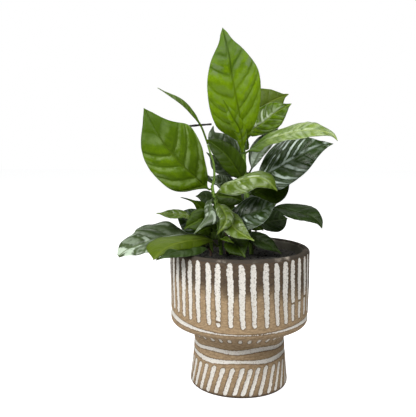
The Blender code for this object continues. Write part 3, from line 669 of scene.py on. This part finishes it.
def leaf_material(kind):
    """A kind of leaf: quilted colour, side veins, midrib, fine net, painted sheen, painted shade at the
    base, paler under side.
    """
    name = kind + "_leaf_skin"
    if name in bpy.data.materials:
        return bpy.data.materials[name]
    look = LOOKS[kind]
    t = Tree(name)
    distance, side = abs(t.attribute("across")), abs(t.attribute("side"))
    upper, blade, tone = t.attribute("upper"), t.attribute("blade"), t.attribute("tone")
    signed = t.off_whole(t.attribute("vein"))
    phase, rung = abs(signed), abs(t.off_whole(t.attribute("cross")))

    mottle = t.noise(420, 4)
    net = t.step(t.cells(420, "DISTANCE_TO_EDGE"), 0.16, 0.02)
    net = t.greatest(net, t.step(rung, 0.1, 0.0) * t.step(phase, 0.0, 0.1)) * blade
    side_line = t.step(phase, 0.11, 0.0) * t.step(distance, 0.1, 1.2) * t.step(side, 1.0, 0.75)
    lines = t.greatest(side_line * 0.5, t.step(distance, 1.5, 0.4)) * blade

    # painted sheen, pale reflection painted on the blade: patches under each vein, streaks and a film over
    # the blade, a highlight streak along the midrib
    ragged = signed + (t.noise(150) - 0.5) * 0.4
    pale_and_sheen = t.step(ragged, -0.5, -0.24) * t.step(ragged, -0.03, -0.11)
    pale_and_sheen = pale_and_sheen * t.step(t.noise(110), 0.34, 0.6) * look.sheen_share
    sheen = t.attribute("sheen")
    streaks = t.step(ragged, 0.02, 0.14) * t.step(ragged, 0.46, 0.3)
    streaks = streaks * t.step(t.noise(50), 0.42, 0.58) * t.math("MINIMUM", sheen, 1.0)
    ridge_sheen = t.attribute("ridge_sheen") * t.step(t.noise(90), 0.34, 0.5)
    painted_sheen = t.greatest(pale_and_sheen, streaks, sheen - 1.0, ridge_sheen) * blade

    cell = t.step(phase, 0.0, 0.24) * t.step(t.noise(90, 2), 0.2, 0.7)
    colour = t.blend(cell, look.dark, look.light)
    back = t.blend(lines * 0.6, look.under, look.pale_and_sheen)
    for share, over in ((net * 0.4, look.dark), (t.step(mottle, 0.35, 0.8) * 0.2, look.light),
                        # the painted sheen in its pale colour
                        (painted_sheen, look.pale_and_sheen), (lines * 0.8, look.vein),
                        (t.step(side, 0.965, 0.995) * 0.4, look.pale_and_sheen),
                        # painted shade at each leaf's base, where it lies in among the other leaves
                        (t.step(t.attribute("along"), 0.14, 0.0) * 0.7, look.dark),
                        # the under side, then the tone: partly the leaf's own green, partly painted light
                        # and shade
                        (1.0 - upper, back), (t.greatest(tone, 0.0), look.light),
                        (t.greatest(tone * -1.0, 0.0), look.dark)):
        colour = t.blend(share, colour, over)

    height = lines * -0.5 - net * 0.06 + t.noise(180) * look.grain
    rough = look.rough + t.step(mottle, 0.3, 0.8) * 0.06 + (1.0 - upper) * 0.25
    skin, normal = t.skin(colour, rough, height * (upper * 2.0 - 1.0), 0.0006,
                          more={"IOR": 1.47, "Specular IOR Level": look.shine})
    glow_colour = t.blend(lines * 0.6, look.glow_colour, look.dark)
    glow = t.node("BsdfTranslucent", {"Color": glow_colour, "Normal": normal})[0]
    return t.finish(t.node("MixShader", {0: look.glow, 1: skin, 2: glow})[0])


STEM_COLOURS = {"green": ((112, 142, 52), (70, 98, 26), (150, 170, 90)),
                "woody": ((92, 70, 56), (52, 38, 30), (128, 104, 88)),
                "twig": ((30, 20, 17), (16, 10, 9), (54, 40, 35))}


def stem_material(kind):
    """Green stems have pale lengthwise streaks, and woody ones brown bark."""
    light, dark, pale = STEM_COLOURS[kind]
    t = Tree(kind + "_stem_skin")
    streaks = t.noise(900, vector=t.squeezed(1, 1, 0.15))
    patches = t.noise(110, 2)
    colour = t.blend(t.step(streaks, 0.35, 0.65), dark, light)
    colour = t.blend(t.step(patches, 0.55, 0.75) * 0.5, colour, pale)
    rough = patches * 0.2 + (0.35 if kind == "green" else 0.65)
    return t.finish(t.skin(colour, rough, streaks, 0.0003, 0.8)[0])


STEM_SIDES = 16
STEM_STEP = 1.5
STEM_DEPTH = 4               # how deep a stem stands in the soil


def tube(stations, radii):
    """The closed skin of a tube with a radius at each station: points and faces."""
    points, guide = [], Vector((0.3, 1.0, 0.1))
    for (middle, along), radius in zip(stations, radii):
        first = along.cross(guide).normalized()
        second = along.cross(first)
        points += [middle + (first * math.cos(a) + second * math.sin(a)) * radius
                   for a in (k * math.tau / STEM_SIDES for k in range(STEM_SIDES))]
    faces = []
    for start in range(0, len(points) - STEM_SIDES, STEM_SIDES):
        for k in range(STEM_SIDES):
            a, b = start + k, start + (k + 1) % STEM_SIDES
            faces.append((a, b, b + STEM_SIDES, a + STEM_SIDES))
    faces.append(tuple(reversed(range(STEM_SIDES))))
    faces.append(tuple(len(points) - STEM_SIDES + k for k in range(STEM_SIDES)))
    return points, faces


def make_stem(stem, in_soil=True):
    """A stem with a swelling at each height where a leaf leaves it."""
    _, length = smooth_path(stem.points, [0, 1])
    count = round(length / STEM_STEP)
    shares = [k / count for k in range(count + 1)]
    stations, _ = smooth_path(stem.points, shares)
    heights = [leaf.height for leaf in LEAVES if leaf.stem == stem.name and not leaf.on_top]
    strength, scale = (0.06, 0.25) if stem.kind == "green" else (0.25, 0.6)
    radii = []
    for (middle, _), share in zip(stations, shares):
        radius = stem.radii[0] + (stem.radii[1] - stem.radii[0]) * share
        swell = max([math.exp(-((middle.z - h) / 2.2) ** 2) for h in heights], default=0)
        radii.append(radius * (1 + 0.28 * swell + strength * noise.noise(middle * scale)))
    if in_soil:
        foot = Vector(stem.points[0])
        foot.z = SOIL_LEVEL - STEM_DEPTH
        stations.insert(0, (foot, Vector((0, 0, 1))))
        radii.insert(0, stem.radii[0] * 1.1)
    mesh = make_mesh("fine_" + stem.name, *tube(stations, radii), STEM_SKINS[stem.kind])
    add_piece(mesh, "green_stem" if stem.kind == "green" else "woody_stem", stem.name)


def make_stipules():
    """Two small pointed scales on the stem beside each petiole."""
    points, faces = [], []
    for leaf in LEAVES:
        if leaf.on_top:
            continue
        middle, along, radius, out = petiole_start(leaf)
        for side in (along.cross(out), out.cross(along)):
            root, tip = middle + side * radius * 0.6, middle + side * (radius + 1.0) + along * 3.4
            stations = [(root.lerp(tip, s), (tip - root).normalized()) for s in (0, 0.3, 0.6, 0.85, 1)]
            more, skin = tube(stations, (0.75, 0.7, 0.5, 0.3, 0.08))
            faces += [tuple(i + len(points) for i in face) for face in skin]
            points += more
    add_piece(make_mesh("stipules", points, faces, STEM_SKINS["green"]), "green_stem")


# Pot, measured on the CAD solid, in millimetres
POT_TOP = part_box("pot")[1]
RIM_RADIUS, POT_HEIGHT = POT_TOP.x / MM, POT_TOP.z / MM
SOIL_LEVEL = 138.0
SOIL_DEPTH = 12              # how deep the soil's edge reaches in the scene
WALL = 8.0
WALL_DEPTH = 14              # how far the inner wall reaches under the soil's surface
BASE_RADIUS, BASE_HEIGHT, BASE_CORNER = RIM_RADIUS - 1, 74.0, 7.0
NECK_RADIUS = 49.0
FOOT_RADIUS = 53.0
FOOT_SIDE = 4.0              # where the foot's rounded lower edge starts
PRESSED = 0.45               # how deep the white strokes are pressed in
AROUND = 480
INNER_POINTS = 12            # how many points of the profile lie inside the rim, where no paint is
BARE_RADIUS = 30             # no paint nearer the middle than this either


def arc(middle_r, middle_z, radius, start, end, steps):
    """Points of an arc in the profile's plane, angles in degrees from outwards to upwards."""
    return [(middle_r + radius * math.cos(math.radians(a)), middle_z + radius * math.sin(math.radians(a)))
            for a in np.linspace(start, end, steps)]


def run(first, last, spacing=1.2):
    """Points from first towards last, without last."""
    count = max(round(math.dist(first, last) / spacing), 1)
    return [(first[0] + (last[0] - first[0]) * k / count, first[1] + (last[1] - first[1]) * k / count)
            for k in range(count)]


def pot_profile():
    """Radius and height down the pot: inside wall, lip, side, corner, cove, foot and underside."""
    lip = WALL / 2
    lip_height = POT_HEIGHT - lip
    profile = run((RIM_RADIUS - WALL, SOIL_LEVEL - WALL_DEPTH), (RIM_RADIUS - WALL, lip_height), 2.0)
    profile += arc(RIM_RADIUS - lip, lip_height, lip, 180, 0, 13)[:-1]
    profile += run((RIM_RADIUS, lip_height), (BASE_RADIUS, BASE_HEIGHT))
    profile += arc(BASE_RADIUS - BASE_CORNER, BASE_HEIGHT, BASE_CORNER, 0, -75, 9)
    cove = [profile[-1], (BASE_RADIUS - 13, BASE_HEIGHT - 9), (NECK_RADIUS + 6, BASE_HEIGHT - 13),
            (NECK_RADIUS + 1.5, BASE_HEIGHT - 18), (NECK_RADIUS, BASE_HEIGHT - 24),
            (NECK_RADIUS + 1.5, 28), (FOOT_RADIUS, FOOT_SIDE)]
    curve, _ = smooth_path([(r, z, 0) for r, z in cove], np.linspace(0, 1, 66))
    profile += [(p.x, p.y) for p, _ in curve[1:-1]]
    profile += [(FOOT_RADIUS - inset, z) for inset, z in ((0, FOOT_SIDE), (0.2, 2.4), (0.8, 1.2),
                                                          (1.6, 0.4), (2.6, 0))]
    return np.array(profile + [(r, 0) for r in (46, 38, 26, 12, 2)])


@dataclass
class Stroke:
    """A brushed white stroke, with a turn in degrees and a height for each end."""
    top: tuple
    bottom: tuple
    half: float
    seed: float
    shape: tuple = ((0, 1), (1, 1))      # shares of the length, and of the half width there
    wobble: float = 1.0
    gaps: tuple = ()                     # heights where the glaze is missing

    def inside(self, turn, height, radius):
        """How far inside the stroke each point is, in mm, and negative outside."""
        (top_turn, top), (bottom_turn, bottom) = self.top, self.bottom
        s = np.clip((top - height) / (top - bottom), 0, 1)
        wobble = 0.28 * np.sin(height * 0.13 + self.seed) + 0.16 * np.sin(height * 0.37 + 2 * self.seed)
        sideways = (turn - top_turn - (bottom_turn - top_turn) * s + 180) % 360 - 180
        sideways = np.radians(sideways) * radius - wobble * self.wobble
        side = np.sign(sideways)
        ragged = (0.24 * np.sin(height * 1.3 + 3 * self.seed + 1.5 * side)
                  + 0.18 * np.sin(height * 2.6 + self.seed - side))
        half = self.half * np.interp(s, *self.shape) + ragged * self.wobble
        past = np.maximum(height - top, bottom - height) + half
        inside = half - np.hypot(sideways, np.maximum(past, 0))
        for gap in self.gaps:
            inside = np.minimum(inside, np.abs(height - gap) - 0.9)
        return inside


@dataclass
class Ring:
    """A brushed line round the pot. Each wave is an amplitude, a count and a phase."""
    height: float
    waves: list
    half: float
    swell: list

    def inside(self, turn, height):
        """How far inside the ring each point is, in mm."""
        middle, half = (mean + sum(a * np.sin(n * np.radians(turn) + p) for a, n, p in waves)
                        for mean, waves in ((self.height, self.waves), (self.half, self.swell)))
        return half - np.abs(height - middle)


QUARTER = math.pi / 2
RINGS = [
    Ring(78.6, [(-3.4, 1, QUARTER), (-1.2, 2, QUARTER), (-2.8, 1, 0), (1.6, 2, 0)], 2.3,
         [(-0.8, 1, QUARTER), (-0.9, 2, QUARTER), (-0.4, 1, 0)]),
    Ring(48.2, [(0.9, 2, 0), (0.8, 6, -1.2)], 2.15, [(0.25, 3, 0.6)]),
    Ring(37.0, [(0.8, 5, 1.6), (0.3, 2, 0)], 2.15, [(-0.35, 4, 1.4)]),
]

# What stands out from an even spacing, by the number of the stroke from the middle of the front
BOWL_NUDGES = {2: 1.2, 3: 1.4, 4: 0.7, 7: 0.8, -2: -1.0, -4: -0.7, -6: 0.9, -7: 0.7, -8: 0.8}
BOWL_GAPS = {-2: (86.5,), 5: (100.5,), 6: (101.5,), 7: (103.5,)}
FOOT_NUDGES = {1: -2.2, 2: -4.2, 3: -4.8, 4: -4.4, 5: -5.0, 6: -5.5, 7: -4.0, 8: -3.0, 9: -1.5}
BOWL_STROKES, COVE_TICKS, FOOT_STROKES = 42, 34, 31
# Heights of their upper and lower ends
BOWL_TOP, BOWL_LOW, COVE_TOP, COVE_LOW, FOOT_TOP, FOOT_LOW = 145.6, 80.2, 67.5, 57.5, 31.5, 2.6


def strokes():
    """The white strokes: long on the bowl, short in the cove, slanted on the foot."""
    rng = random.Random(11)
    made = []
    for k in range(-BOWL_STROKES // 2, BOWL_STROKES // 2):
        turn = 1.5 + k * 360 / BOWL_STROKES + BOWL_NUDGES.get(k, 0)
        across, ahead = math.sin(math.radians(turn)), math.cos(math.radians(turn))
        low = BOWL_LOW + 8 * (1 - ahead) / (1 + 0.6 * (across > 0)) - 2.5 * min(across, 0)
        made.append(Stroke((turn, BOWL_TOP + rng.uniform(-0.7, 0.5)),
                           (turn + 1.3 + 1.8 * across, low + rng.uniform(-0.8, 0.8)),
                           rng.uniform(3.0, 3.4), rng.uniform(0, 6.3),
                           ((0, 0.12, 0.4, 1), (0.72, 1, 0.98, 0.68)), gaps=BOWL_GAPS.get(k, ())))
    for k in range(COVE_TICKS):
        turn = 0.8 + k * 360 / COVE_TICKS + rng.uniform(-0.8, 0.8)
        made.append(Stroke((turn, COVE_TOP), (turn, COVE_LOW + rng.uniform(-0.5, 0.8)),
                           rng.uniform(1.6, 2.2), rng.uniform(0, 6.3),
                           ((0, 0.5, 1), (0.5, 0.8, 1.1)), 0.5))
    for k in range(-(FOOT_STROKES // 2), FOOT_STROKES // 2 + 1):
        turn = 5 + k * 360 / FOOT_STROKES + FOOT_NUDGES.get(k, 0)
        lean = 9.8 + 3 * math.sin(math.radians(turn))
        made.append(Stroke((turn, FOOT_TOP + rng.uniform(-1, 0.6)),
                           (turn - lean, FOOT_LOW + rng.uniform(-0.3, 0.5)),
                           rng.uniform(2.3, 2.7), rng.uniform(0, 6.3),
                           ((0, 0.15, 0.35, 1), (1.0, 1.08, 0.88, 1.0)), 0.6))
    return made


# What "paint" holds where there is no stroke: outside, and inside the pot
BARE, INNER = -5.0, -8.0


def make_pot():
    """The pot's outer skin and lip, with its strokes pressed in a little."""
    profile = pot_profile()
    radius, height = profile[:, :1], profile[:, 1:]
    turn = np.arange(AROUND)[None, :] * 360 / AROUND + 0 * radius
    paint = np.full(turn.shape, BARE)
    for line in strokes():
        paint = np.maximum(paint, line.inside(turn, height, radius))
    for ring in RINGS:
        paint = np.maximum(paint, ring.inside(turn, height))
    outside = (radius > BARE_RADIUS) & (np.arange(len(profile)) > INNER_POINTS)[:, None]
    paint = np.where(outside, paint, INNER)
    angle = np.radians(turn)
    sway = 0.25 * np.sin(2 * angle + 0.6) + 0.2 * np.sin(height * 0.09 + 3 * angle)
    thick = radius - PRESSED * smoothstep(-0.2, 0.7, paint) + sway * outside
    points = np.stack([thick * np.sin(angle), -thick * np.cos(angle), height + 0 * angle], -1)
    mesh = turned_mesh("fine_pot", points, pot_material())
    store(mesh, "paint", paint)
    add_piece(mesh, "pot_ceramic", "pot")


def pot_material():
    """Matte stoneware: tan below, smoked dark above, with speckled white strokes in dark edges."""
    t = Tree("brushed_stoneware")
    paint = t.attribute("paint")
    split = {0: t.place()}
    x, z = t.number("SeparateXYZ", split, 0), t.number("SeparateXYZ", split, 2)
    grain, clouds = t.noise(1500, 4, 0.7), t.noise(28)
    brushed = t.noise(260, 4, 0.6, vector=t.squeezed(1, 1, 2.5))

    # the body, from its clay to its rim and creases
    level = z + x * 0.09 + (clouds - 0.5) * 0.035 + (grain - 0.5) * 0.02
    strands = t.step(brushed, 0.3, 0.7)
    tan = t.blend(strands, (130, 108, 80), (162, 139, 108))
    tan = t.blend(t.step(grain, 0.5, 0.7) * 0.45, tan, (104, 84, 60))
    brown = t.blend(strands, (58, 46, 34), (80, 66, 50))
    brown = t.blend(t.step(grain, 0.52, 0.7) * 0.4, brown, (110, 95, 78))
    body = t.blend(t.step(level, 0.102, 0.124), tan, brown)
    lip = t.step(z, (POT_HEIGHT - 4) * MM, (POT_HEIGHT - 2) * MM)
    worn = lip * t.step(t.noise(45, 4, 0.65), 0.55, 0.72)
    crease = t.step(paint, -1.1, -0.15) * t.step(paint, 0.6, 0.05)
    for share, over in ((t.step(z, 0.0045, 0.0015), (70, 58, 46)),
                        (t.step(z, 0.022, 0.002) * 0.45, (84, 68, 50)), (lip, (52, 45, 36)),
                        (t.step(paint, BARE - 1, INNER + 1), (98, 95, 84)),
                        (worn * 0.7, (160, 150, 138)), (crease * 0.7, (78, 62, 46))):
        body = t.blend(share, body, over)

    # the strokes, with a ragged edge and small holes
    white = t.step(paint + (t.noise(420, 4, 0.65) - 0.5) * 2.4, 0.02, 0.4)
    dots = t.step(t.cells(420, "F1"), 0.26, 0.16) * t.step(t.noise(210, 2), 0.44, 0.56)
    holes = t.greatest(dots, t.step(t.noise(900, 2, 0.5), 0.62, 0.68))
    white = white * (1.0 - holes * 0.75)
    chalk = t.blend(t.step(grain, 0.4, 0.7), (210, 207, 200), (186, 180, 170))
    height = grain * 0.5 + brushed * 0.5 + white * 0.4
    skin, _ = t.skin(t.blend(white, body, chalk), grain * 0.15 + 0.72, height, 0.0005, 0.7,
                     {"Specular IOR Level": 0.3})
    return t.finish(skin)


def soil_material():
    """Damp dark soil, with a little lighter grit."""
    t = Tree("damp_soil")
    clumps, grit = t.noise(160, 5, 0.65), t.noise(1100, 3, 0.6)
    colour = t.blend(t.step(clumps, 0.35, 0.65), (22, 21, 18), (50, 47, 40))
    colour = t.blend(t.step(grit, 0.62, 0.7) * 0.6, colour, (104, 92, 78))
    return t.finish(t.skin(colour, 0.9, clumps + grit * 0.4, 0.0012, 0.9)[0])


def make_soil(material):
    """The soil's surface: uneven, with a ragged edge that sinks away at the wall."""
    wall = RIM_RADIUS - WALL - GAP
    rings = np.concatenate([np.linspace(0.5, 56, 46), np.linspace(57, wall, 20)])
    r, a = np.meshgrid(rings, np.radians(np.arange(180) * 2.0), indexing="ij")
    points = np.stack([r * np.sin(a), -r * np.cos(a), 0 * r], -1)
    lumps = np.array([[noise.fractal(Vector(p) * 0.07, 0.8, 2.1, 5) for p in row] for row in points])
    ragged = 63.5 + 1.8 * np.sin(3 * a + 1) + 1.2 * np.sin(7 * a) + 2.5 * lumps
    points[..., 2] = SOIL_LEVEL + 0.9 * lumps - 5.0 * smoothstep(0, 2.5, r - ragged)
    deep = points[-1:].copy()
    deep[..., 2] = SOIL_LEVEL - SOIL_DEPTH
    add_piece(turned_mesh("fine_soil", np.concatenate([points, deep]), material), "potting_soil", "soil")


CRUMBS, CRUMB_REACH = 420, 61


def make_crumbs(material):
    """Loose crumbs of soil over its surface, in one piece."""
    rng = random.Random(5)
    points, faces = [], []
    for _ in range(CRUMBS):
        far, turn = CRUMB_REACH * math.sqrt(rng.random()), rng.uniform(0, math.tau)
        size = rng.uniform(0.4, 1.5) * (0.6 + 0.4 * rng.random())
        middle = Vector((far * math.cos(turn), far * math.sin(turn), SOIL_LEVEL + size * 0.35))
        low = len(points)
        for z, count, radius in ((-0.8, 1, 0), (-0.3, 6, 0.9), (0.4, 6, 0.85), (0.9, 1, 0)):
            for k in range(count):
                angle = k * math.tau / 6 + z
                way = Vector((radius * math.cos(angle), radius * math.sin(angle), z))
                points.append(middle + way * (size * rng.uniform(0.75, 1.2)))
        mid, high, top = low + 1, low + 7, low + 13
        for k in range(6):
            n = (k + 1) % 6
            faces += [(low, mid + n, mid + k), (mid + k, mid + n, high + n, high + k),
                      (high + k, high + n, top)]
    add_piece(make_mesh("soil_crumbs", points, faces, material), "potting_soil")


def place_object(name, data, place=(0, 0, 0), turn=(0, 0, 0)):
    """An object of the studio, at a place in metres."""
    made = bpy.data.objects.new(name, data)
    made.location = place
    made.rotation_euler = turn
    bpy.context.scene.collection.objects.link(made)
    return made


def make_camera():
    data = bpy.data.cameras.new("camera")
    data.lens = LENS
    turn = (math.pi / 2 - LOOK_DOWN, 0, LOOK_LEFT)
    bpy.context.scene.camera = place_object("camera", data, EYE, turn)


def make_light(name, place, aim, size, power):
    """A soft rectangular light that faces the pot's middle line at the height aim, in metres."""
    data = bpy.data.lights.new(name, "AREA")
    data.shape = "RECTANGLE"
    data.size, data.size_y = size
    data.energy = power
    way = Vector((0, 0, aim)) - Vector(place)
    place_object(name, data, place, way.to_track_quat("-Z", "Y").to_euler())


SKY_LOW, SKY_RISE = 0.05, 0.10
FLOOR_REACH, FLOOR_HEIGHT = 4000, -0.2      # mm


def make_sky():
    """White for the camera. The light that it gives comes from above and behind."""
    world = bpy.context.scene.world = bpy.data.worlds.new("studio")
    t = Tree(owner=world)
    way = {0: t.node("TexCoord")["Generated"]}
    high = t.step(t.number("SeparateXYZ", way, 2), -0.1, 0.8)
    behind = t.step(t.number("SeparateXYZ", way, 1), -0.5, 0.7)
    glow = t.greatest(high, behind) * SKY_RISE + SKY_LOW
    dim = t.node("Background", {"Color": (0.94, 0.98, 1.0, 1), "Strength": glow})[0]
    white = t.node("Background", {"Color": (1, 1, 1, 1), "Strength": 1.0})[0]
    seen = t.node("LightPath")["Is Camera Ray"]
    t.finish(t.node("MixShader", {0: seen, 1: dim, 2: white})[0], "World")


def make_floor():
    """A plain white floor, which keeps a faint shadow where the foot stands."""
    t = Tree("floor_white")
    seen = t.number("LightPath", output="Is Camera Ray")
    skin = t.node("BsdfPrincipled", {"Base Color": (0.55, 0.55, 0.55, 1), "Roughness": 0.9,
                                     "Emission Color": (1, 1, 1, 1), "Emission Strength": seen * 0.9})
    corners = [(x * FLOOR_REACH, y * FLOOR_REACH, FLOOR_HEIGHT)
               for x, y in ((-1, -1), (1, -1), (1, 1), (-1, 1))]
    place_object("floor", make_mesh("floor", corners, [(0, 1, 2, 3)], t.finish(skin[0])))


def make_studio():
    """Soft light from the left, above and behind, in front of white."""
    bpy.context.scene.view_settings.view_transform = "Standard"
    make_sky()
    make_floor()
    make_light("key_left", (-1.1, -0.55, 0.85), 0.15, (0.5, 0.5), 15)
    make_light("overhead", (0.40, -0.45, 1.1), 0.2, (0.5, 0.3), 8)
    make_light("top_back", (-0.2, 0.85, 1.0), 0.22, (1.0, 0.6), 3)
    make_light("front_top", (-0.1, -1.0, 1.1), 0.2, (0.9, 0.45), 14)


make_camera()
make_studio()
STEM_SKINS = {kind: stem_material(kind) for kind in STEM_COLOURS}
make_pot()
damp_soil = soil_material()
make_soil(damp_soil)
make_crumbs(damp_soil)
for stem in STEMS:
    make_stem(stem)
make_stem(TWIG, in_soil=False)
make_stipules()
for number, leaf in enumerate(LEAVES):
    make_leaf(leaf, number)
